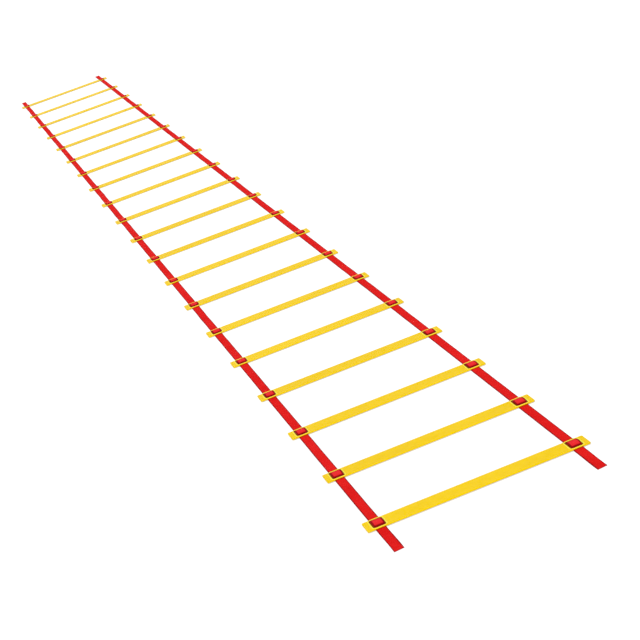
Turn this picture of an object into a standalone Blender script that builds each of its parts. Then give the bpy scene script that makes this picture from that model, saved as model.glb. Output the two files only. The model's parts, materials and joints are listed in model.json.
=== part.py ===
"""Agility ladder: flat plastic rungs threaded on two runs of webbing, laid out on the floor.

X runs across the ladder, along each rung. Y runs along the straps, from the near end to the far end.
Z is up. The origin is on the floor, in the middle of the ladder's outline.
"""

import math

import bpy
import bmesh
from mathutils import Vector

# Counts
RUNG_COUNT = 20
FOLD_AFTER_RUNGS = (5, 10, 15)
CORNER_STEPS = 4

# Layout along the straps
NEAR_PITCH = 0.310
FAR_PITCH = 0.400
NEAR_TAIL = 0.145
FAR_TAIL = 0.190

# Webbing
STRAP_WIDTH = 0.020
STRAP_THICKNESS = 0.0015
STRAP_BEND = 0.0006
STRAP_CROWN = 0.0024
RISE_RUN_SHARE = 0.65
CROWN_PLACE_SHARE = 0.5
CROWN_HEIGHT_SHARE = 0.75

# Rung
RUNG_LENGTH = 0.436
RUNG_WIDTH = 0.048
RUNG_THICKNESS = 0.003
RUNG_CORNER = 0.003
TAB_LENGTH = 0.0125
RAIL_WIDTH = 0.003
SLOT_RUN = 0.007
SLOT_SIDE_PLAY = 0.0025
SLOT_OUTER_CORNER = 0.005
SLOT_INNER_CORNER = 0.0008

# Clearances
WEAVE_CLEARANCE = 0.0003
FOLD_SPLIT = 0.0003
FOLD_CLEARANCE = 0.0005

# Heights and places that follow from the sizes above
RUNG_UNDERSIDE = STRAP_THICKNESS + WEAVE_CLEARANCE
RUNG_TOP = RUNG_UNDERSIDE + RUNG_THICKNESS
SLOT_OUTER = RUNG_WIDTH / 2 - RAIL_WIDTH
SLOT_INNER = SLOT_OUTER - SLOT_RUN
SLOT_LENGTH = STRAP_WIDTH + 2 * SLOT_SIDE_PLAY
STRAP_SPACING = RUNG_LENGTH - 2 * TAB_LENGTH - SLOT_LENGTH
STRAP_LOW = STRAP_THICKNESS / 2
STRAP_HIGH = RUNG_TOP + WEAVE_CLEARANCE + STRAP_THICKNESS / 2
CREST_TOP = STRAP_HIGH + STRAP_CROWN + STRAP_THICKNESS / 2
FOLD_HEIGHT = CREST_TOP + FOLD_CLEARANCE

# Linear colour and roughness of the two finishes
RUNG_YELLOW = (0.94, 0.62, 0.02, 1.0)
RUNG_ROUGHNESS = 0.4
WEBBING_RED = (0.70, 0.02, 0.018, 1.0)
WEBBING_ROUGHNESS = 0.85


def empty_the_scene():
    for old in list(bpy.data.objects):
        bpy.data.objects.remove(old, do_unlink=True)


def make_material(name, colour, roughness):
    material = bpy.data.materials.new(name)
    material.use_nodes = True
    shader = material.node_tree.nodes["Principled BSDF"]
    shader.inputs["Base Color"].default_value = colour
    shader.inputs["Roughness"].default_value = roughness
    shader.inputs["Metallic"].default_value = 0.0
    return material


def rung_places():
    """Y of each rung's middle: the bays widen evenly from the near end to the far end."""
    bays = RUNG_COUNT - 1
    widening = (FAR_PITCH - NEAR_PITCH) / (bays - 1)
    pitches = [NEAR_PITCH + widening * bay for bay in range(bays)]
    overall = NEAR_TAIL + sum(pitches) + FAR_TAIL
    places = [NEAR_TAIL - overall / 2]
    for pitch in pitches:
        places.append(places[-1] + pitch)
    return places


def fold_lines(places):
    """Y of each fold line, in the middle of its bay."""
    return [(places[rung - 1] + places[rung]) / 2 for rung in FOLD_AFTER_RUNGS]


def add_empty(name, collection, place, parent=None):
    """A joint axis. Its place is given in the world."""
    empty = bpy.data.objects.new(name, None)
    collection.objects.link(empty)
    seat(empty, place, parent)
    return empty


def seat(thing, place, parent):
    """Puts a thing at a world place, under a parent that is itself unturned."""
    thing.parent = parent
    base = Vector((0, 0, 0))
    above = parent
    while above:
        base += above.location
        above = above.parent
    thing.location = Vector(place) - base


def arc(centre, radius, start, end, steps):
    """Points on an arc in the XY plane, both ends included."""
    turn = (end - start) / steps
    return [
        (centre[0] + radius * math.cos(start + turn * step), centre[1] + radius * math.sin(start + turn * step))
        for step in range(steps + 1)
    ]


def rounded_rectangle(length, width, upper_radius, lower_radius, steps):
    """An outline round the origin, with a quarter arc at each corner, of one radius above and one below."""
    quarter = math.pi / 2
    points = []
    for turn, (side, end) in enumerate(((1, 1), (-1, 1), (-1, -1), (1, -1))):
        radius = upper_radius if end > 0 else lower_radius
        centre = (side * (length / 2 - radius), end * (width / 2 - radius))
        points += arc(centre, radius, turn * quarter, (turn + 1) * quarter, steps)
    return points


def slot_outline(end):
    """A slot about the origin, wide round corners towards the rung's edge and tight ones towards its bridge."""
    radii = (SLOT_OUTER_CORNER, SLOT_INNER_CORNER)[::end]
    return rounded_rectangle(SLOT_LENGTH, SLOT_RUN, *radii, CORNER_STEPS)


def add_outline(curve, points, shift=(0, 0)):
    spline = curve.splines.new("POLY")
    spline.points.add(len(points) - 1)
    for point, (x, y) in zip(spline.points, points):
        point.co = (x + shift[0], y + shift[1], 0, 1)
    spline.use_cyclic_u = True


def make_rung_shape(material):
    """The flat rung: a plate with a pair of slots at each end, and a bridge between the slots."""
    curve = bpy.data.curves.new("rung_plate", "CURVE")
    curve.dimensions = "2D"
    curve.fill_mode = "BOTH"
    curve.extrude = RUNG_THICKNESS / 2
    add_outline(curve, rounded_rectangle(RUNG_LENGTH, RUNG_WIDTH, RUNG_CORNER, RUNG_CORNER, CORNER_STEPS))
    slot_middle = (SLOT_INNER + SLOT_OUTER) / 2
    for side in (-1, 1):
        for end in (-1, 1):
            add_outline(curve, slot_outline(end), (side * STRAP_SPACING / 2, end * slot_middle))
    curve.materials.append(material)
    return curve


def rise_profile():
    """Half of the strap's rise over a bridge: (distance from the rung's middle, middle height)."""
    slot_middle = (SLOT_INNER + SLOT_OUTER) / 2
    run = SLOT_RUN * RISE_RUN_SHARE
    climb = STRAP_HIGH - STRAP_LOW
    foot = slot_middle + run / 2
    shoulder = slot_middle - run / 2
    slope = math.hypot(run, climb)
    ease_along = STRAP_BEND * run / slope
    ease_up = STRAP_BEND * climb / slope
    return [
        (0, STRAP_HIGH + STRAP_CROWN),
        (shoulder * CROWN_PLACE_SHARE, STRAP_HIGH + STRAP_CROWN * CROWN_HEIGHT_SHARE),
        (shoulder - STRAP_BEND, STRAP_HIGH),
        (shoulder + ease_along, STRAP_HIGH - ease_up),
        (foot - ease_along, STRAP_LOW + ease_up),
        (foot + STRAP_BEND, STRAP_LOW),
    ]


def strap_path(start, end, places):
    """Middle line of a strap length: flat on the floor, and over the bridge of each of its rungs."""
    rise = rise_profile()
    path = [(start, STRAP_LOW)]
    for place in places:
        path += [(place - away, height) for away, height in reversed(rise[1:])]
        path += [(place + away, height) for away, height in rise]
    path.append((end, STRAP_LOW))
    return path


def make_strap_length(name, collection, material, side, path, hinge, parent):
    """A ribbon along the path, given its thickness by a Solidify modifier."""
    work = bmesh.new()
    bmesh.ops.create_grid(work, x_segments=1, y_segments=len(path) - 1, size=1)
    corners = sorted(work.verts, key=lambda corner: corner.co.y)
    for (along, height), *pair in zip(path, corners[::2], corners[1::2]):
        for corner in pair:
            across = math.copysign(STRAP_WIDTH / 2, corner.co.x)
            corner.co = (across, along - hinge.y, height - hinge.z)
    mesh = bpy.data.meshes.new(name)
    work.to_mesh(mesh)
    work.free()
    mesh.materials.append(material)
    strap = bpy.data.objects.new(name, mesh)
    collection.objects.link(strap)
    seat(strap, (side * STRAP_SPACING / 2, hinge.y, hinge.z), parent)
    wall = strap.modifiers.new("webbing", "SOLIDIFY")
    wall.thickness = STRAP_THICKNESS
    wall.offset = 0
    wall.use_even_offset = True
    return strap


def add_rungs(collection, shape, first, places, parent):
    for number, place in enumerate(places, first):
        rung = bpy.data.objects.new(f"rung_{number:02d}", shape)
        collection.objects.link(rung)
        seat(rung, (0, place, RUNG_UNDERSIDE + RUNG_THICKNESS / 2), parent)


def build_ladder():
    collection = bpy.data.collections.new("agility_ladder")
    bpy.context.scene.collection.children.link(collection)
    rung_plastic = make_material("rung_plastic", RUNG_YELLOW, RUNG_ROUGHNESS)
    webbing = make_material("webbing", WEBBING_RED, WEBBING_ROUGHNESS)
    rung_shape = make_rung_shape(rung_plastic)

    places = rung_places()
    folds = fold_lines(places)
    hinges = [Vector((0, fold, FOLD_HEIGHT)) for fold in folds]
    edges = [places[0] - NEAR_TAIL] + folds + [places[-1] + FAR_TAIL]
    counts = (0,) + FOLD_AFTER_RUNGS + (RUNG_COUNT,)

    # The second section is the one that stays put, and the others fold over it or over each other.
    base = add_empty("section_2", collection, (0, 0, 0))
    near = add_empty("section_1", collection, hinges[0], base)
    middle = add_empty("section_3", collection, hinges[1], base)
    far = add_empty("section_4", collection, hinges[2], middle)
    sections = ((near, hinges[0]), (base, Vector((0, 0, 0))), (middle, hinges[1]), (far, hinges[2]))

    for number, (parent, hinge) in enumerate(sections):
        first, last = counts[number], counts[number + 1]
        start = edges[number] + (FOLD_SPLIT / 2 if number > 0 else 0)
        end = edges[number + 1] - (FOLD_SPLIT / 2 if number < len(sections) - 1 else 0)
        path = strap_path(start, end, places[first:last])
        for side, word in ((-1, "left"), (1, "right")):
            name = f"{word}_strap_{number + 1}"
            make_strap_length(name, collection, webbing, side, path, hinge, parent)
        add_rungs(collection, rung_shape, first + 1, places[first:last], parent)


empty_the_scene()
build_ladder()
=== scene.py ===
"""Finished look of an agility ladder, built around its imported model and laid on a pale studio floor.

Metres and degrees throughout, and linear colours. X runs across the ladder, Y along the straps from the near
end, and Z is up. In the names below, a SPAN is where a mask starts and where it is full, a FADE is where one
starts to fade and where it is gone, and a COVER is how thickly a colour lies over the one below it.
"""

import json
import math

import bmesh
import bpy
from mathutils import Matrix, Vector, noise


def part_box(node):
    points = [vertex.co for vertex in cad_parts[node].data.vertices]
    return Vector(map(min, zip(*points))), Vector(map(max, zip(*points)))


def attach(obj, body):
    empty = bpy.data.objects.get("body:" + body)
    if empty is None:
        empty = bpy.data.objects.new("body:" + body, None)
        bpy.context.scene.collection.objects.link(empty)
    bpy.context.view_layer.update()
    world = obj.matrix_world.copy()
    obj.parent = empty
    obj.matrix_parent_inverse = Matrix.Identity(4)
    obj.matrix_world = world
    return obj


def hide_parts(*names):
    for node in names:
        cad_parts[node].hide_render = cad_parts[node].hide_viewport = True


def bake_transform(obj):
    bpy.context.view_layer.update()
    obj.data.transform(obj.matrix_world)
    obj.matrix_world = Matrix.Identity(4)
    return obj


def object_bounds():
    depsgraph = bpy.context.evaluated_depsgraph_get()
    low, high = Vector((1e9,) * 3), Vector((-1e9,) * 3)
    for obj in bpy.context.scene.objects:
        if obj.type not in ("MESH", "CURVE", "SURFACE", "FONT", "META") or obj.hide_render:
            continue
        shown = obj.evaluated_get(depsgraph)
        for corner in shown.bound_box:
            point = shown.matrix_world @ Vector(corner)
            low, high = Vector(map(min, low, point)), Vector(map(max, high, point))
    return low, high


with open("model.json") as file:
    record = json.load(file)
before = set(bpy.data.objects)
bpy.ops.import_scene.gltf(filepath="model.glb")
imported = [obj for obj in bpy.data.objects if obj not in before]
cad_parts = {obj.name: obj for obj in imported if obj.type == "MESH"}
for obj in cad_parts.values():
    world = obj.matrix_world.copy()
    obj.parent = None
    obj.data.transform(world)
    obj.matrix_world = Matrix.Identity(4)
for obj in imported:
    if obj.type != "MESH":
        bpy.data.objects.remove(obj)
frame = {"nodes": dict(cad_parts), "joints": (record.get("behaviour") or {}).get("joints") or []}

cad_low, cad_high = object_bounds()

# Camera
CAMERA_PLACE = (-0.685, -6.822, 1.375)
CAMERA_HEADING = -8.49
CAMERA_TILT = 74.18
CAMERA_ROLL = -18.77
FOCAL_PIXELS = 2080
PICTURE_PIXELS = 640
SENSOR_MM = 36.0

# Studio
FLOOR_REACH = 40.0
FLOOR_DROP = 0.0002
FLOOR_PALE = (0.81, 0.81, 0.81, 1)
FLOOR_DARK = (0.58, 0.58, 0.58, 1)
FLOOR_CLOUD_SCALE = 2.0
FLOOR_GLOW = 0.5
FLOOR_ROUGHNESS = 0.9
SKY_STRENGTH = 0.46
KEY_STRENGTH = 2.2
KEY_SPREAD = 40.0
KEY_FROM = (-0.3, -0.8, 1.0)

# Rung plate
RAIL_WIDTH = 0.003
SLOT_RUN = 0.007
SLOT_SIDE_PLAY = 0.0025
SLOT_OUTER_ROUND = 0.005
SLOT_OUTER_STEPS = 7
SLOT_INNER_ROUND = 0.0008
SLOT_INNER_STEPS = 2
RUNG_CORNER = 0.003
RUNG_CORNER_STEPS = 5
EDGE_ROUND = 0.0005
EDGE_STEPS = 3
NEARLY_LEVEL = 0.99

# Lip round a pair of slots
LIP_GAP = 0.0002
LIP_WIDTH = 0.0026
LIP_RISE = 0.0005
LIP_ROUND = 0.0004
SHARP_ANGLE = 60.0

# Webbing
WEBBING_THICKNESS = 0.0015
WEAVE_CLEARANCE = 0.0003
RIBS = 11
RIB_DEPTH = 0.00022
SELVEDGE = 0.0009
SELVEDGE_STEPS = 4
SEAM_INSET = 0.0012

# Webbing's rise over a bridge. The arch gives shares of the way to the shoulder and of the crown's height.
CROWN = 0.0024
CREST_ARCH = ((0.0, 1.0), (0.35, 0.88), (0.65, 0.58))
SHOULDER_HEIGHT = 0.12
BEND = 0.0006
RISE_RUN_SHARE = 0.65
CREST_FLAT = 0.0004
CREST_DOME = 0.0004
CREST_SPREAD = 0.16
SLOT_PINCH = 0.04
SLOT_SHADE_REACH = 0.0006
SLOT_SHADE_EASE = 0.0007
RAMP_INSET = 0.0024
RAMP_THINNING = 0.00006

# Webbing's flat stretches
STATION_GAP = 0.022
WANDER = 0.0012
LIFT = 0.0003
STRAY_RATE = 9.0
SECTION_SEED = 10
RIGHT_SEED = 50
CUT_TAPER = 0.0024
CUT_THINNING = 0.0002
CUT_SKEW = 0.003
CUT_REACH = 0.0036

# Fold lines
FOLD_HOLD = 0.005
FOLD_REACH = 0.013
FOLD_STEPS = 12

# Unevenness of tone
MOTTLE_BROAD_SHARE = 0.55
MOTTLE_SPAN = (0.34, 0.66)

# Weave
PICK_PITCH = 0.0021
RIB_ROUNDNESS = 0.6
PICK_ROUNDNESS = 0.5
FIBRE_STRETCH = (1.0, 0.12, 1.0)
FIBRE_SCALE = 5200.0
FIBRE_RELIEF = 0.22
SELVEDGE_FADE = (0.0012, 0.0024)

# Scuffs
LONG_SCRATCH_STRETCH = (0.05, 1.0, 1.0)
LONG_SCRATCH_SCALE = 900.0
LONG_SCRATCH_SPAN = (0.62, 0.72)
CROSS_SCRATCH_STRETCH = (1.0, 0.07, 1.0)
CROSS_SCRATCH_SCALE = 420.0
CROSS_SCRATCH_SPAN = (0.68, 0.76)
RUB_SCALE = 26.0
RUB_SPAN = (0.5, 0.72)
GRAIN_SCALE = 1400.0

# Plastic finish
YELLOW_DEEP = (0.90, 0.60, 0.0, 1)
YELLOW_BRIGHT = (0.97, 0.665, 0.003, 1)
YELLOW_SCRATCHED = (1.0, 0.80, 0.15, 1)
# Painted shade: the next colour darkens a band along the plate's edges.
YELLOW_EDGE_SHADE = (0.80, 0.60, 0.0, 1)
YELLOW_WALL = (0.94, 0.64, 0.002, 1)
# Painted highlight: the next colour makes the lips paler.
YELLOW_LIP_HIGHLIGHT = (1.0, 0.90, 0.07, 1)
# Painted shade, with the webbing's reflected red in it, where the webbing meets the plate:
SHADE_ON_PLATE = (0.26, 0.010, 0.003, 1)
SCRATCH_COVER = 0.25
EDGE_SHADE_COVER = 0.35
WALL_COVER = 0.8
LIP_HIGHLIGHT_COVER = 0.9
SHADE_ON_PLATE_COVER = 0.9
EDGE_SHADE_FADE = (0.0004, 0.0014)
WALL_FADE = (0.0001, 0.0004)
RAIL_SHADE_FADE = (0.0007, 0.0021)
PLASTIC_ROUGHNESS = 0.38
RUB_ROUGHER = 0.10
SCRATCH_ROUGHER = 0.12
LIP_SMOOTHER = 0.12
GRAIN_DEPTH = 0.00004
GRAIN_STRENGTH = 0.5
SCRATCH_DEPTH = 0.00003
SCRATCH_STRENGTH = 0.6
PLASTIC_SPECULAR = 0.03

# Webbing finish
RED_DEEP = (0.84, 0.012, 0.011, 1)
RED_BRIGHT = (1.0, 0.024, 0.021, 1)
# Painted shade: the next colour darkens the weave's low gaps.
RED_GAP_SHADE = (0.58, 0.004, 0.005, 1)
# Painted highlight: the next two colours are the threads and gaps over the crests.
RED_CREST_HIGHLIGHT = (0.95, 0.045, 0.050, 1)
RED_CREST_HIGHLIGHT_GAP_SHADE = (0.74, 0.015, 0.022, 1)
# Painted shade: the next colour darkens the webbing in the slots.
RED_SLOT_SHADE = (0.18, 0.001, 0.003, 1)
RED_SELVEDGE = (0.22, 0.001, 0.006, 1)
RED_SEALED = (0.40, 0.002, 0.006, 1)
SLOT_SHADE_COVER = 0.9
SELVEDGE_COVER = 0.85
SEALED_COVER = 0.6
SEALED_FRAY = 0.4
FRAY_SPAN = (0.25, 0.75)
CUT_SPAN = (0.0, 0.1)
WEBBING_ROUGHNESS = 0.75
SEALED_SMOOTHER = 0.35
WEAVE_DEPTH = 0.00018
WEAVE_STRENGTH = 0.75
WEBBING_SPECULAR = 0.02
SHEEN_WEIGHT = 0.06
SHEEN_ROUGHNESS = 0.4
SHEEN_TINT = (1.0, 0.15, 0.12, 1)

RUNG_NAMES = sorted(name for name in frame["nodes"] if name.startswith("rung_"))
SIDES = ("left", "right")
SECTIONS = sorted(name[-1] for name in frame["nodes"] if name.startswith("left_strap_"))
FOLDS = [joint for joint in frame["joints"] if joint["type"] == "hinge"]

strap_low, strap_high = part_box("right_strap_1")
rung_low, rung_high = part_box(RUNG_NAMES[0])
STRAP_PLACE = (strap_low.x + strap_high.x) / 2
STRAP_WIDTH = strap_high.x - strap_low.x
RUNG_HALF = (rung_high.y - rung_low.y) / 2
RUNG_THICKNESS = rung_high.z - rung_low.z
SLOT_HALF_WIDTH = STRAP_WIDTH / 2 + SLOT_SIDE_PLAY
SLOT_OUTER = RUNG_HALF - RAIL_WIDTH
SLOT_INNER = SLOT_OUTER - SLOT_RUN
SLOT_MIDDLE = (SLOT_INNER + SLOT_OUTER) / 2
RIB_PITCH = (STRAP_WIDTH - 2 * SELVEDGE) / RIBS
WEBBING_LOW = WEBBING_THICKNESS / 2
WEBBING_HIGH = rung_high.z + WEAVE_CLEARANCE + WEBBING_THICKNESS / 2
SEAM = RUNG_HALF - SEAM_INSET
RAMP_END = RUNG_HALF - RAMP_INSET


def rung_place(name):
    """Y of a rung's middle."""
    low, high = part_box(name)
    return (low.y + high.y) / 2


class Net:
    """Adds nodes to a tree and joins them."""

    def __init__(self, tree):
        self.tree = tree

    def add(self, kind, **settings):
        node = self.tree.nodes.new(kind)
        for name, value in settings.items():
            setattr(node, name, value)
        return node

    def feed(self, socket, value):
        """Gives a socket a number, a colour or another node's output."""
        if isinstance(value, bpy.types.NodeSocket):
            self.tree.links.new(value, socket)
        else:
            socket.default_value = value

    def maths(self, operation, *values):
        node = self.add("ShaderNodeMath", operation=operation)
        for socket, value in zip(node.inputs, values):
            self.feed(socket, value)
        return node.outputs[0]

    def inverse(self, mask):
        return self.maths("SUBTRACT", 1.0, mask)

    def mix(self, share, first, second):
        """Mixes two colours."""
        node = self.add("ShaderNodeMix", data_type="RGBA")
        self.feed(node.inputs["Factor"], share)
        self.feed(node.inputs[6], first)
        self.feed(node.inputs[7], second)
        return node.outputs[2]

    def cover(self, below, above, mask, share):
        """Lays a colour over another where a mask is 1, as thickly as share says."""
        return self.mix(self.maths("MULTIPLY", mask, share), below, above)

    def ramp(self, value, low, high):
        """A smooth step from 0 at low to 1 at high."""
        node = self.add("ShaderNodeMapRange", interpolation_type="SMOOTHSTEP")
        for socket, number in zip(node.inputs, (value, low, high, 0.0, 1.0)):
            self.feed(socket, number)
        return node.outputs[0]

    def split(self, vector):
        """A vector's own X, Y and Z."""
        node = self.add("ShaderNodeSeparateXYZ")
        self.feed(node.inputs[0], vector)
        return node.outputs

    def stretched(self, vector, scale):
        node = self.add("ShaderNodeMapping")
        self.feed(node.inputs["Vector"], vector)
        node.inputs["Scale"].default_value = scale
        return node.outputs[0]

    def noise(self, vector, scale, detail=3.0, roughness=0.55):
        node = self.add("ShaderNodeTexNoise")
        self.feed(node.inputs["Vector"], vector)
        for name, value in (("Scale", scale), ("Detail", detail), ("Roughness", roughness)):
            self.feed(node.inputs[name], value)
        return node.outputs["Fac"]

    def bump(self, height, distance, strength, normal=None):
        node = self.add("ShaderNodeBump")
        for name, value in (("Height", height), ("Distance", distance), ("Strength", strength)):
            self.feed(node.inputs[name], value)
        if normal:
            self.feed(node.inputs["Normal"], normal)
        return node.outputs[0]

    def attribute(self, name):
        """The number that mark() gave each corner of the mesh under this name."""
        return self.add("ShaderNodeAttribute", attribute_name=name).outputs["Fac"]

    def use(self, group, **values):
        """Places a shader node group with its own values. Returns its outputs."""
        node = self.add("ShaderNodeGroup", node_tree=group)
        for name, value in values.items():
            self.feed(node.inputs[name.replace("_", " ")], value)
        return node.outputs


def new_group(name, inputs, outputs):
    """An empty shader node group: (group, net, the sockets it is given, the sockets it feeds)."""
    group = bpy.data.node_groups.new(name, "ShaderNodeTree")
    for label, kind, value in inputs:
        socket = group.interface.new_socket(label, in_out="INPUT", socket_type="NodeSocket" + kind)
        if value is not None:
            socket.default_value = value
    for label, kind in outputs:
        group.interface.new_socket(label, in_out="OUTPUT", socket_type="NodeSocket" + kind)
    net = Net(group)
    return group, net, net.add("NodeGroupInput").outputs, net.add("NodeGroupOutput").inputs


def make_mottle_group():
    """Slow unevenness of tone, from 0 to 1, at two scales."""
    inputs = (("Place", "Vector", None), ("Broad Scale", "Float", None), ("Fine Scale", "Float", None))
    group, net, given, result = new_group("mottle", inputs, (("Tone", "Float"),))
    broad = net.noise(given["Place"], given["Broad Scale"], detail=2.0)
    fine = net.noise(given["Place"], given["Fine Scale"], detail=4.0, roughness=0.65)
    broad_part = net.maths("MULTIPLY", broad, MOTTLE_BROAD_SHARE)
    fine_part = net.maths("MULTIPLY", fine, 1 - MOTTLE_BROAD_SHARE)
    net.feed(result["Tone"], net.ramp(net.maths("ADD", broad_part, fine_part), *MOTTLE_SPAN))
    return group


def make_weave_group():
    """Plain-woven webbing: warp ribs along Y, crossed by picks that alternate from rib to rib."""
    inputs = (
        ("Place", "Vector", None),
        ("Strap Place", "Float", STRAP_PLACE),
        ("Rib Pitch", "Float", RIB_PITCH),
        ("Pick Pitch", "Float", PICK_PITCH),
        ("Half Width", "Float", STRAP_WIDTH / 2),
    )
    outputs = (("Height", "Float"), ("Float Mask", "Float"), ("Selvedge", "Float"), ("Fibre", "Float"))
    group, net, given, result = new_group("weave", inputs, outputs)
    point = net.split(given["Place"])
    across = net.maths("SUBTRACT", net.maths("ABSOLUTE", point["X"]), given["Strap Place"])
    rib = net.maths("DIVIDE", across, given["Rib Pitch"])
    index = net.maths("FLOOR", net.maths("ADD", rib, 0.5))
    crest = net.maths("COSINE", net.maths("MULTIPLY", net.maths("SUBTRACT", rib, index), math.pi))
    turn = net.maths("MULTIPLY_ADD", index, 0.5, net.maths("DIVIDE", point["Y"], given["Pick Pitch"]))
    pick = net.maths("ABSOLUTE", net.maths("SINE", net.maths("MULTIPLY", turn, math.pi)))
    float_mask = net.maths(
        "MULTIPLY", net.maths("POWER", crest, RIB_ROUNDNESS), net.maths("POWER", pick, PICK_ROUNDNESS)
    )
    fibre = net.noise(net.stretched(given["Place"], FIBRE_STRETCH), FIBRE_SCALE, detail=2.0)
    edge = net.maths("SUBTRACT", given["Half Width"], net.maths("ABSOLUTE", across))
    net.feed(result["Height"], net.maths("MULTIPLY_ADD", fibre, FIBRE_RELIEF, float_mask))
    net.feed(result["Float Mask"], float_mask)
    net.feed(result["Selvedge"], net.inverse(net.ramp(edge, *SELVEDGE_FADE)))
    net.feed(result["Fibre"], fibre)
    return group


def make_scuff_group():
    """Fine scratches where the plastic is rubbed, most of them along X, and a faint moulded grain."""
    inputs = (("Place", "Vector", None), ("Grain Scale", "Float", GRAIN_SCALE))
    outputs = (("Scratch", "Float"), ("Grain", "Float"), ("Rub", "Float"))
    group, net, given, result = new_group("scuffs", inputs, outputs)
    along = net.stretched(given["Place"], LONG_SCRATCH_STRETCH)
    drawn = net.noise(along, LONG_SCRATCH_SCALE, detail=3.0, roughness=0.7)
    athwart = net.stretched(given["Place"], CROSS_SCRATCH_STRETCH)
    crossing = net.noise(athwart, CROSS_SCRATCH_SCALE, detail=2.0, roughness=0.6)
    rub = net.ramp(net.noise(given["Place"], RUB_SCALE), *RUB_SPAN)
    scratch = net.maths(
        "MAXIMUM", net.ramp(drawn, *LONG_SCRATCH_SPAN), net.ramp(crossing, *CROSS_SCRATCH_SPAN)
    )
    net.feed(result["Scratch"], net.maths("MULTIPLY", scratch, rub))
    net.feed(result["Grain"], net.noise(given["Place"], given["Grain Scale"], detail=2.0))
    net.feed(result["Rub"], rub)
    return group


def new_material(name):
    """A material with a bare Principled shader: (material, net, shader, Object coordinates)."""
    material = bpy.data.materials.new(name)
    material.use_nodes = True
    shader = material.node_tree.nodes["Principled BSDF"]
    net = Net(material.node_tree)
    return material, net, shader, net.add("ShaderNodeTexCoord").outputs["Object"]


def shaded_by_webbing(net, point, off_middle, from_side):
    """1 where the plate gets painted shade with the webbing's reflected red in it.

    That is on the bridges, inside the slots, and low on the rails' outer walls.
    """
    off_strap = net.maths("ABSOLUTE", net.maths("SUBTRACT", net.maths("ABSOLUTE", point["X"]), STRAP_PLACE))
    beside = net.ramp(off_strap, SLOT_HALF_WIDTH, SLOT_HALF_WIDTH + EDGE_ROUND)
    past_slot = net.ramp(net.maths("ABSOLUTE", off_middle), SLOT_OUTER, SLOT_OUTER + EDGE_ROUND)
    underside = net.inverse(net.ramp(point["Z"], rung_low.z, rung_low.z + EDGE_ROUND))
    off_window = net.maths("MAXIMUM", net.maths("MAXIMUM", beside, past_slot), underside)
    off_webbing = net.ramp(off_strap, STRAP_WIDTH / 2 - EDGE_ROUND, STRAP_WIDTH / 2 + EDGE_ROUND)
    inwards = net.ramp(from_side, 0.0, EDGE_ROUND)
    upwards = net.ramp(point["Z"], *(rung_low.z + height for height in RAIL_SHADE_FADE))
    off_rail = net.maths("MAXIMUM", net.maths("MAXIMUM", off_webbing, inwards), upwards)
    return net.inverse(net.maths("MINIMUM", off_window, off_rail))


def make_rung_plastic(mottle, scuffs):
    """Satin moulded plastic: a warm yellow with fine rubbed scratches, painted shade along its edges and
    where the webbing meets it, and glossier lips painted paler as a highlight.
    """
    material, net, shader, place = new_material("rung_plastic")
    tone = net.use(mottle, Place=place, Broad_Scale=3.1, Fine_Scale=70.0)["Tone"]
    marks = net.use(scuffs, Place=place)
    point = net.split(place)
    off_middle, lip = net.attribute("off_middle"), net.attribute("lip")
    from_side = net.maths("SUBTRACT", RUNG_HALF, net.maths("ABSOLUTE", off_middle))
    from_end = net.maths("SUBTRACT", rung_high.x, net.maths("ABSOLUTE", point["X"]))
    from_edge = net.maths("MINIMUM", from_side, from_end)
    # A darker band along the plate's edges is painted shade; the walls themselves keep the plain yellow.
    edge_shade_mask = net.inverse(net.ramp(from_edge, *EDGE_SHADE_FADE))
    wall = net.inverse(net.ramp(from_edge, *WALL_FADE))
    plate_shade_mask = shaded_by_webbing(net, point, off_middle, from_side)

    body = net.mix(tone, YELLOW_DEEP, YELLOW_BRIGHT)
    worn = net.cover(body, YELLOW_SCRATCHED, marks["Scratch"], SCRATCH_COVER)
    edged = net.cover(worn, YELLOW_EDGE_SHADE, edge_shade_mask, EDGE_SHADE_COVER)
    walled = net.cover(edged, YELLOW_WALL, wall, WALL_COVER)
    # Painted shade, reddish with light reflected off the webbing, in the slots, on the bridges and low on
    # the rails' outer walls.
    with_painted_shade = net.cover(walled, SHADE_ON_PLATE, plate_shade_mask, SHADE_ON_PLATE_COVER)
    # The lips' paler yellow is a painted highlight.
    net.feed(shader.inputs["Base Color"], net.cover(with_painted_shade, YELLOW_LIP_HIGHLIGHT, lip, LIP_HIGHLIGHT_COVER))

    satin = net.maths("MULTIPLY_ADD", marks["Rub"], RUB_ROUGHER, PLASTIC_ROUGHNESS)
    polished = net.maths("MULTIPLY_ADD", lip, -LIP_SMOOTHER, satin)
    scratched = net.maths("MULTIPLY_ADD", marks["Scratch"], SCRATCH_ROUGHER, polished)
    net.feed(shader.inputs["Roughness"], scratched)
    grain = net.bump(marks["Grain"], GRAIN_DEPTH, GRAIN_STRENGTH)
    net.feed(shader.inputs["Normal"], net.bump(marks["Scratch"], -SCRATCH_DEPTH, SCRATCH_STRENGTH, grain))
    shader.inputs["Specular IOR Level"].default_value = PLASTIC_SPECULAR
    return material


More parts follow.
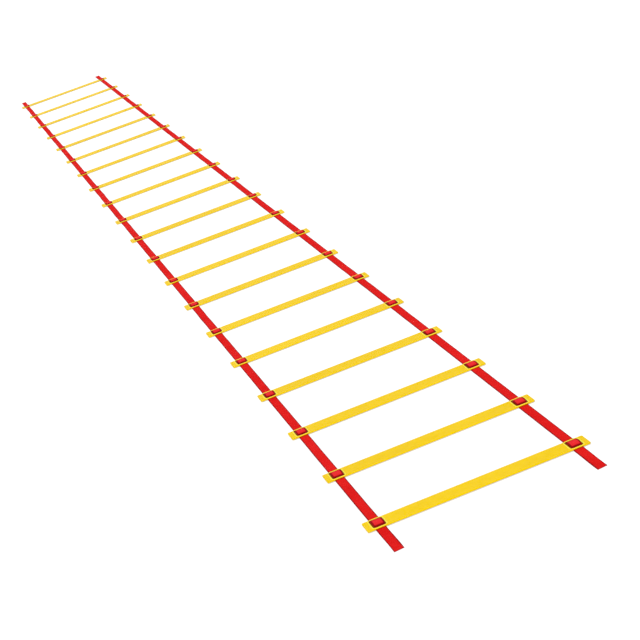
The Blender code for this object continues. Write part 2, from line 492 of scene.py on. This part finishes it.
def make_webbing(mottle, weave):
    """Woven webbing: bright red and dull, with darker selvedges, painted shade in the weave's gaps and in
    the slots, a painted highlight on the crests, and heat-sealed cut ends.
    """
    material, net, shader, place = new_material("webbing")
    tone = net.use(mottle, Place=place, Broad_Scale=14.0, Fine_Scale=160.0)["Tone"]
    cloth = net.use(weave, Place=place)
    crest, in_slot, cut = net.attribute("crest"), net.attribute("in_slot"), net.attribute("cut")
    frayed = net.ramp(net.maths("MULTIPLY_ADD", cloth["Fibre"], SEALED_FRAY, cut), *FRAY_SPAN)
    sealed = net.maths("MULTIPLY", frayed, net.ramp(cut, *CUT_SPAN))

    flat = net.mix(tone, RED_DEEP, RED_BRIGHT)
    # The weave's low gaps between floats are darker: painted shade.
    gap_shade = net.mix(crest, RED_GAP_SHADE, RED_CREST_HIGHLIGHT_GAP_SHADE)
    # Over the crest the threads and gaps turn paler: a painted highlight.
    threads = net.mix(cloth["Float Mask"], gap_shade, net.mix(crest, flat, RED_CREST_HIGHLIGHT))
    # Painted shade where the webbing climbs through the slots.
    with_painted_shade = net.cover(threads, RED_SLOT_SHADE, in_slot, SLOT_SHADE_COVER)
    edged = net.cover(with_painted_shade, RED_SELVEDGE, cloth["Selvedge"], SELVEDGE_COVER)
    net.feed(shader.inputs["Base Color"], net.cover(edged, RED_SEALED, sealed, SEALED_COVER))

    dull = net.maths("MULTIPLY_ADD", sealed, -SEALED_SMOOTHER, WEBBING_ROUGHNESS)
    net.feed(shader.inputs["Roughness"], dull)
    net.feed(shader.inputs["Normal"], net.bump(cloth["Height"], WEAVE_DEPTH, WEAVE_STRENGTH))
    shader.inputs["Specular IOR Level"].default_value = WEBBING_SPECULAR
    shader.inputs["Sheen Weight"].default_value = SHEEN_WEIGHT
    shader.inputs["Sheen Roughness"].default_value = SHEEN_ROUGHNESS
    shader.inputs["Sheen Tint"].default_value = SHEEN_TINT
    return material


def add_object(name, data):
    """A new object in the scene, at the origin."""
    thing = bpy.data.objects.new(name, data)
    bpy.context.scene.collection.objects.link(thing)
    return thing


def to_mesh(name, work):
    """Turns a bmesh into a mesh."""
    mesh = bpy.data.meshes.new(name)
    work.to_mesh(mesh)
    work.free()
    return mesh


def mark(work, name, measure):
    """Gives every corner a number that a material can read as an attribute."""
    work.verts.index_update()
    layer = work.verts.layers.float.new(name)
    for corner in work.verts:
        corner[layer] = measure(corner)


def round_off(work, parts, radius, steps, affect):
    """Rounds corners or edges."""
    bmesh.ops.bevel(
        work, geom=parts, offset=radius, offset_type="OFFSET", segments=steps, profile=0.5,
        affect=affect, material=-1,
    )


def add_ring(work, middle, half, radii, steps, height):
    """A level ring of edges: a rectangle with one corner radius at its low side and one at its high side."""
    corners = bmesh.ops.create_grid(work, x_segments=1, y_segments=1, size=1)["verts"]
    sides = [[corner for corner in corners if (corner.co.y > 0) == high] for high in (False, True)]
    for corner in corners:
        corner.co = (middle[0] + half[0] * corner.co.x, middle[1] + half[1] * corner.co.y, height)
    around = set(work.verts) - set(corners)
    for side, radius, count in zip(sides, radii, steps):
        round_off(work, side, radius, count, "VERTICES")
    ring = set(work.verts) - around
    panel = next(face for face in work.faces if set(face.verts) == ring)
    edges = panel.edges[:]
    bmesh.ops.delete(work, geom=[panel], context="FACES_ONLY")
    return edges


def edge_levels():
    """A quarter round at the foot and head of the plate's walls, from below up: (height, setback)."""
    levels = []
    for step in range(EDGE_STEPS + 1):
        angle = math.pi / 2 * step / EDGE_STEPS
        levels.append((EDGE_ROUND * (1 - math.cos(angle)), EDGE_ROUND * (1 - math.sin(angle))))
    return levels + [(RUNG_THICKNESS - height, setback) for height, setback in reversed(levels)]


def plate_outlines():
    """The plate's border and slots: (middle, half size, corner radii, corner steps, way of the setback)."""
    half = (SLOT_HALF_WIDTH, SLOT_RUN / 2)
    radii, steps = (SLOT_INNER_ROUND, SLOT_OUTER_ROUND), (SLOT_INNER_STEPS, SLOT_OUTER_STEPS)
    outlines = [((0, 0), (rung_high.x, RUNG_HALF), (RUNG_CORNER,) * 2, (RUNG_CORNER_STEPS,) * 2, -1)]
    for side in (-1, 1):
        for end in (-1, 1):
            outlines.append(((side * STRAP_PLACE, end * SLOT_MIDDLE), half, radii[::end], steps[::end], 1))
    return outlines


def make_rung_mesh():
    """A rung's plate about Y = 0, with rounded edges, four slots with rounded corners, and two lips."""
    work = bmesh.new()
    borders = [[], []]
    levels = edge_levels()
    for middle, half, radii, steps, way in plate_outlines():
        before = None
        for number, (height, setback) in enumerate(levels):
            grown = way * setback
            size = (half[0] + grown, half[1] + grown)
            rounds = [radius + grown for radius in radii]
            ring = add_ring(work, middle, size, rounds, steps, rung_low.z + height)
            if before:
                bmesh.ops.bridge_loops(work, edges=before + ring)
            if number in (0, len(levels) - 1):
                borders[number > 0] += ring
            before = ring
    for edges, way in zip(borders, (-1, 1)):
        bmesh.ops.triangle_fill(work, use_beauty=True, use_dissolve=False, edges=edges, normal=(0, 0, way))
    bmesh.ops.recalc_face_normals(work, faces=work.faces)
    plate_count = len(work.verts)
    add_lips(work)
    bmesh.ops.recalc_face_normals(work, faces=work.faces)
    work.normal_update()
    mark(work, "off_middle", lambda corner: corner.co.y)
    mark(work, "lip", lambda corner: float(corner.index >= plate_count))
    for face in work.faces:
        face.smooth = abs(face.normal.z) <= NEARLY_LEVEL
    return to_mesh("rung_plate", work)


def add_lips(work):
    """Adds a raised lip round each pair of slots."""
    lip = make_lip_mesh()
    for side in (-1, 1):
        lip.transform(Matrix.Translation((side * STRAP_PLACE, 0, 0)))
        work.from_mesh(lip)
        lip.transform(Matrix.Translation((-side * STRAP_PLACE, 0, 0)))
    bpy.data.meshes.remove(lip)


def make_lip_mesh():
    """The low rounded lip round a pair of slots, over the rails and past the slots' ends, about X = 0."""
    work = bmesh.new()
    across = SLOT_HALF_WIDTH + LIP_GAP + LIP_WIDTH
    along = SLOT_OUTER + LIP_GAP + LIP_WIDTH
    corners = bmesh.ops.create_grid(work, x_segments=1, y_segments=1, size=1)["verts"]
    for corner in corners:
        x, y = math.copysign(across, corner.co.x), math.copysign(along, corner.co.y)
        corner.co = (x, y, rung_high.z - LIP_RISE)
    round_off(work, corners, SLOT_OUTER_ROUND + LIP_GAP + LIP_WIDTH, SLOT_OUTER_STEPS + 1, "VERTICES")
    panel = work.faces[:]
    bmesh.ops.inset_region(work, faces=panel, thickness=LIP_WIDTH, use_boundary=True, use_even_offset=True)
    bmesh.ops.delete(work, geom=panel, context="FACES_ONLY")
    raised = bmesh.ops.extrude_face_region(work, geom=work.faces[:])["geom"]
    upper = [part for part in raised if isinstance(part, bmesh.types.BMVert)]
    bmesh.ops.translate(work, verts=upper, vec=(0, 0, 2 * LIP_RISE))
    bmesh.ops.recalc_face_normals(work, faces=work.faces)
    top = max(corner.co.z for corner in upper)
    borders = []
    for edge in work.edges:
        level = all(corner.co.z > top - LIP_RISE for corner in edge.verts)
        if level and edge.calc_face_angle(0) > math.radians(SHARP_ANGLE):
            borders.append(edge)
    round_off(work, borders, LIP_ROUND, EDGE_STEPS, "EDGES")
    return to_mesh("window_lip", work)


def add_rungs(plastic):
    """The twenty moulded plates, each a copy of one mesh moved to its own place."""
    plate = make_rung_mesh()
    plate.materials.append(plastic)
    for name in RUNG_NAMES:
        mesh = plate.copy()
        mesh.transform(Matrix.Translation((0, rung_place(name), 0)))
        rung = add_object(f"moulded_{name}", mesh)
        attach(rung, f"{name}_body")
        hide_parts(name)
    bpy.data.meshes.remove(plate)


def webbing_outline(thinning=0.0):
    """The webbing's cut face as (across, up): ribs on both faces and a rounded selvedge at each side."""
    half = WEBBING_THICKNESS / 2 - thinning
    reach = STRAP_WIDTH / 2 - SELVEDGE
    upper = []
    for step in range(2 * RIBS + 1):
        across = -reach + step * RIB_PITCH / 2
        upper.append((across, half - (0 if step % 2 else RIB_DEPTH)))
    side = []
    for step in range(1, SELVEDGE_STEPS):
        angle = math.pi / 2 - math.pi * step / SELVEDGE_STEPS
        side.append((reach + SELVEDGE * math.cos(angle), (half - RIB_DEPTH / 2) * math.sin(angle)))
    lower = [(-across, -up) for across, up in upper]
    return upper + side + lower + [(-across, -up) for across, up in side]


def domed(outline, spread, dome):
    """An outline made wider by a share, with its sides let down below its middle."""
    half = STRAP_WIDTH / 2
    return [(across * spread, up - dome * (across / half) ** 2) for across, up in outline]


def draw_webbing(work, place, stations):
    """Draws webbing through its stations and closes both ends.

    A station is (sideways, along, height, slope, outline).
    """
    before = None
    last = len(stations) - 1
    for number, (sideways, along, height, slope, outline) in enumerate(stations):
        ring = bmesh.ops.create_circle(
            work, cap_ends=number in (0, last), segments=len(outline), radius=STRAP_WIDTH
        )["verts"]
        for corner, (across, up) in zip(ring, outline):
            corner.co = (
                place + sideways + across,
                along - up * math.sin(slope),
                height + up * math.cos(slope),
            )
        edges = {edge for corner in ring for edge in corner.link_edges}
        if before:
            bmesh.ops.bridge_loops(work, edges=list(before | edges))
        before = edges


def finish_webbing(name, work, webbing):
    """A finished piece of webbing, shaded smooth but for its cut ends, which get sharp borders."""
    for face in work.faces:
        face.smooth = len(face.verts) == 4
    for edge in work.edges:
        edge.smooth = all(face.smooth for face in edge.link_faces)
    bmesh.ops.recalc_face_normals(work, faces=work.faces)
    mesh = to_mesh(name, work)
    mesh.materials.append(webbing)
    piece = add_object(name, mesh)
    return piece


def stretch_stations(start, end, seed, cut_start, cut_end):
    """A flat stretch of webbing, which strays a little sideways and off the floor between its ends."""
    count = max(2, round((end - start) / STATION_GAP))
    outline = webbing_outline()
    stations = []
    for step in range(count + 1):
        share = step / count
        along = start + (end - start) * share
        ease = math.sin(math.pi * share) ** 2
        if (cut_start and share < 0.5) or (cut_end and share > 0.5):
            ease = 1.0
        sideways = WANDER * ease * noise.noise(Vector((seed, along * STRAY_RATE, 0.0)))
        upwards = LIFT * ease * abs(noise.noise(Vector((seed, 0.0, along * STRAY_RATE))))
        stations.append((sideways, along, WEBBING_LOW + upwards, 0.0, outline))
    if cut_start:
        stations[:1] = sealed_end(stations[0], -1)[::-1]
    if cut_end:
        stations[-1:] = sealed_end(stations[-1], 1)
    return stations


def sealed_end(station, way):
    """A heat-sealed cut: the end station goes back a little, and a thinner one takes its place."""
    sideways, along, height, slope, outline = station
    back = (sideways, along - way * CUT_TAPER, height, slope, outline)
    return [back, (sideways, along, height, slope, webbing_outline(CUT_THINNING))]


def cut_askew(work, place):
    """Takes the right side of a strap's near cut back a little, as scissors leave it."""
    left = Matrix.Translation((place - STRAP_WIDTH / 2, 0, 0))
    skew = Matrix.Identity(4)
    skew[1][0] = CUT_SKEW / STRAP_WIDTH
    near_cut = [corner for corner in work.verts if corner.co.y < cad_low.y + CUT_REACH]
    bmesh.ops.transform(work, matrix=left @ skew @ left.inverted(), verts=near_cut)


def fold_reach(joint):
    """How far a fold's own strip reaches from its line: (towards the near end, towards the far end)."""
    if joint["name"] == "fold_near":
        return FOLD_REACH, FOLD_HOLD
    return FOLD_HOLD, FOLD_REACH


def flat_span(strap):
    """Where a strap length starts and ends, less what the strips at its fold lines take."""
    low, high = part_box(strap)
    start, end = low.y, high.y
    for joint in FOLDS:
        line = joint["pos_m"][1]
        back, ahead = fold_reach(joint)
        if abs(line - start) < FOLD_HOLD:
            start = line + ahead
        if abs(line - end) < FOLD_HOLD:
            end = line - back
    return start, end


def add_flat_webbing(webbing):
    """The straps' flat stretches between the rungs, which lie still in their section."""
    for section in SECTIONS:
        for side, sign in zip(SIDES, (-1, 1)):
            start, end = flat_span(f"{side}_strap_{section}")
            places = [rung_place(name) for name in RUNG_NAMES if start < rung_place(name) < end]
            ends = [start] + [place + way * SEAM for place in places for way in (-1, 1)] + [end]
            work = bmesh.new()
            for number, (first, last) in enumerate(zip(ends[::2], ends[1::2])):
                seed = int(section) * SECTION_SEED + number + (RIGHT_SEED if sign > 0 else 0)
                cut_start = abs(first - cad_low.y) < FOLD_HOLD
                cut_end = abs(last - cad_high.y) < FOLD_HOLD
                stations = stretch_stations(first, last, seed, cut_start, cut_end)
                draw_webbing(work, sign * STRAP_PLACE, stations)
            mark(work, "cut", lambda corner: float(abs(corner.co.y) > cad_high.y - CUT_TAPER / 2))
            cut_askew(work, sign * STRAP_PLACE)
            piece = finish_webbing(f"{side}_webbing_{section}", work, webbing)
            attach(piece, f"section_{section}")
            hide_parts(f"{side}_strap_{section}")


def rise_points():
    """Half of the rise over a bridge, from crest to foot: (distance from the rung's middle, height)."""
    run = SLOT_RUN * RISE_RUN_SHARE
    climb = WEBBING_HIGH - WEBBING_LOW
    foot, shoulder = SLOT_MIDDLE + run / 2, SLOT_MIDDLE - run / 2
    slope = math.hypot(run, climb)
    ease_along, ease_up = BEND * run / slope, BEND * climb / slope
    points = [(shoulder * away, WEBBING_HIGH + CROWN * height) for away, height in CREST_ARCH]
    points += [
        (shoulder - BEND, WEBBING_HIGH + CROWN * SHOULDER_HEIGHT),
        (shoulder + ease_along, WEBBING_HIGH - ease_up),
        (foot - ease_along, WEBBING_LOW + ease_up),
        (foot + BEND, WEBBING_LOW),
    ]
    return points


def cut_corners(points):
    """Replaces each inner corner of a line with two points at a quarter of its sides."""
    eased = [points[0]]
    for (x0, z0), (x1, z1) in zip(points, points[1:]):
        for share in (0.25, 0.75):
            eased.append(((1 - share) * x0 + share * x1, (1 - share) * z0 + share * z1))
    return [eased[0]] + eased[2:-1] + [points[-1]]


def rise_stations(place, way):
    """Half of the rise over a bridge, from its crest to the seam under the rail, on the side of way."""
    crest, *rest = cut_corners(rise_points())
    line = [crest, (CREST_FLAT, crest[1])] + rest
    outline = webbing_outline()
    stations = []
    for number, (away, height) in enumerate(line):
        back = line[max(number - 1, 0)]
        ahead = line[min(number + 1, len(line) - 1)]
        slope = math.atan2(ahead[1] - back[1], ahead[0] - back[0])
        if number < 2 or number == len(line) - 1:
            slope = 0.0
        over = max(0.0, (height - WEBBING_HIGH) / CROWN)
        up_slot = min(1.0, (height - WEBBING_LOW) / (WEBBING_HIGH - WEBBING_LOW))
        spread = 1 + CREST_SPREAD * over - SLOT_PINCH * math.sin(math.pi * up_slot)
        shaped = domed(outline, spread, CREST_DOME * over)
        stations.append((0.0, place + way * away, height, way * slope, shaped))
    thin = webbing_outline(RAMP_THINNING)
    stations += [(0.0, place + way * away, WEBBING_LOW, 0.0, thin) for away in (RAMP_END, SEAM)]
    return stations


def crest_share(height):
    """0 at the shoulders of the rise over a bridge and below them, 1 at its crest: the share of painted
    highlight there.
    """
    return max(0.0, (height - WEBBING_HIGH) / (cad_high.z - WEBBING_HIGH))


def slot_shade_share(height):
    """How much painted shade the webbing gets: 1 where it climbs through a slot, 0 on the floor and over the
    bridge.
    """
    foot = (height - WEBBING_THICKNESS) / SLOT_SHADE_EASE
    shoulder = (WEBBING_HIGH + WEBBING_THICKNESS / 2 + SLOT_SHADE_REACH - height) / SLOT_SHADE_EASE
    return max(0.0, min(1.0, foot, shoulder))


def add_rises(webbing):
    """The rises over the bridges, in halves, which give way under the rail."""
    for name in RUNG_NAMES:
        place = rung_place(name)
        for word, way in (("near", -1), ("far", 1)):
            work = bmesh.new()
            for sign in (-1, 1):
                draw_webbing(work, sign * STRAP_PLACE, rise_stations(place, way))
            # The crest mask carries the painted highlight over the bridge.
            mark(work, "crest", lambda corner: crest_share(corner.co.z))
            mark(work, "in_slot", lambda corner: slot_shade_share(corner.co.z))
            piece = finish_webbing(f"{name}_{word}_weave", work, webbing)
            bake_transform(piece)


def add_fold_strips(webbing):
    """The short flat strips that lie where the ladder folds."""
    outline = webbing_outline()
    for joint in FOLDS:
        line = joint["pos_m"][1]
        back, ahead = fold_reach(joint)
        start, end = line - back, line + ahead
        work = bmesh.new()
        for sign in (-1, 1):
            stations = []
            for step in range(FOLD_STEPS + 1):
                along = start + (end - start) * step / FOLD_STEPS
                stations.append((0.0, along, WEBBING_LOW, 0.0, outline))
            draw_webbing(work, sign * STRAP_PLACE, stations)
        piece = finish_webbing(f"{joint['name']}_strip", work, webbing)
        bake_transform(piece)


def seen_by_eye(net):
    """1 for rays from the camera and for mirrored and refracted ones, 0 for light that falls on things."""
    path = net.add("ShaderNodeLightPath").outputs
    mirrored = net.maths("MAXIMUM", path["Is Glossy Ray"], path["Is Transmission Ray"])
    return net.maths("MAXIMUM", path["Is Camera Ray"], mirrored)


def add_floor():
    """A wide matt floor that looks white but keeps the ladder's shadow."""
    work = bmesh.new()
    bmesh.ops.create_grid(work, x_segments=1, y_segments=1, size=FLOOR_REACH)
    bmesh.ops.translate(work, verts=work.verts, vec=(0, 0, -FLOOR_DROP))
    floor = add_object("studio_floor", to_mesh("studio_floor", work))
    material, net, shader, place = new_material("studio_floor")
    clouds = net.ramp(net.noise(place, FLOOR_CLOUD_SCALE), 0.0, 1.0)
    net.feed(shader.inputs["Base Color"], net.mix(clouds, FLOOR_PALE, FLOOR_DARK))
    shader.inputs["Roughness"].default_value = FLOOR_ROUGHNESS
    shader.inputs["Specular IOR Level"].default_value = 0.0
    shader.inputs["Emission Color"].default_value = (1, 1, 1, 1)
    net.feed(shader.inputs["Emission Strength"], net.maths("MULTIPLY", seen_by_eye(net), FLOOR_GLOW))
    floor.data.materials.append(material)


def add_light():
    """A pale even sky that looks white, and a broad soft key light from above the near end, to the left."""
    world = bpy.data.worlds.new("studio")
    bpy.context.scene.world = world
    world.use_nodes = True
    net = Net(world.node_tree)
    backdrop = world.node_tree.nodes["Background"]
    backdrop.inputs["Color"].default_value = (1, 1, 1, 1)
    extra = net.maths("MULTIPLY", seen_by_eye(net), 1.0 - SKY_STRENGTH)
    net.feed(backdrop.inputs["Strength"], net.maths("ADD", extra, SKY_STRENGTH))

    lamp = bpy.data.lights.new("key", "SUN")
    lamp.energy = KEY_STRENGTH
    lamp.angle = math.radians(KEY_SPREAD)
    key = add_object("key", lamp)
    key.rotation_euler = Vector(KEY_FROM).to_track_quat("Z", "Y").to_euler()


def add_camera():
    """The photograph's view: a long lens low over the near end, turned a little and rolled."""
    lens = bpy.data.cameras.new("camera")
    lens.sensor_width = SENSOR_MM
    lens.lens = FOCAL_PIXELS / PICTURE_PIXELS * SENSOR_MM
    lens.clip_end = 4 * FLOOR_REACH
    camera = add_object("camera", lens)
    heading = Matrix.Rotation(math.radians(CAMERA_HEADING), 4, "Z")
    tilt = Matrix.Rotation(math.radians(CAMERA_TILT), 4, "X")
    roll = Matrix.Rotation(math.radians(CAMERA_ROLL), 4, "Z")
    camera.matrix_world = Matrix.Translation(CAMERA_PLACE) @ heading @ tilt @ roll
    bpy.context.scene.camera = camera


def build():
    bpy.context.scene.view_settings.view_transform = "Standard"
    add_camera()
    add_light()
    add_floor()
    mottle, weave, scuffs = make_mottle_group(), make_weave_group(), make_scuff_group()
    add_rungs(make_rung_plastic(mottle, scuffs))
    webbing = make_webbing(mottle, weave)
    add_flat_webbing(webbing)
    add_rises(webbing)
    add_fold_strips(webbing)


build()
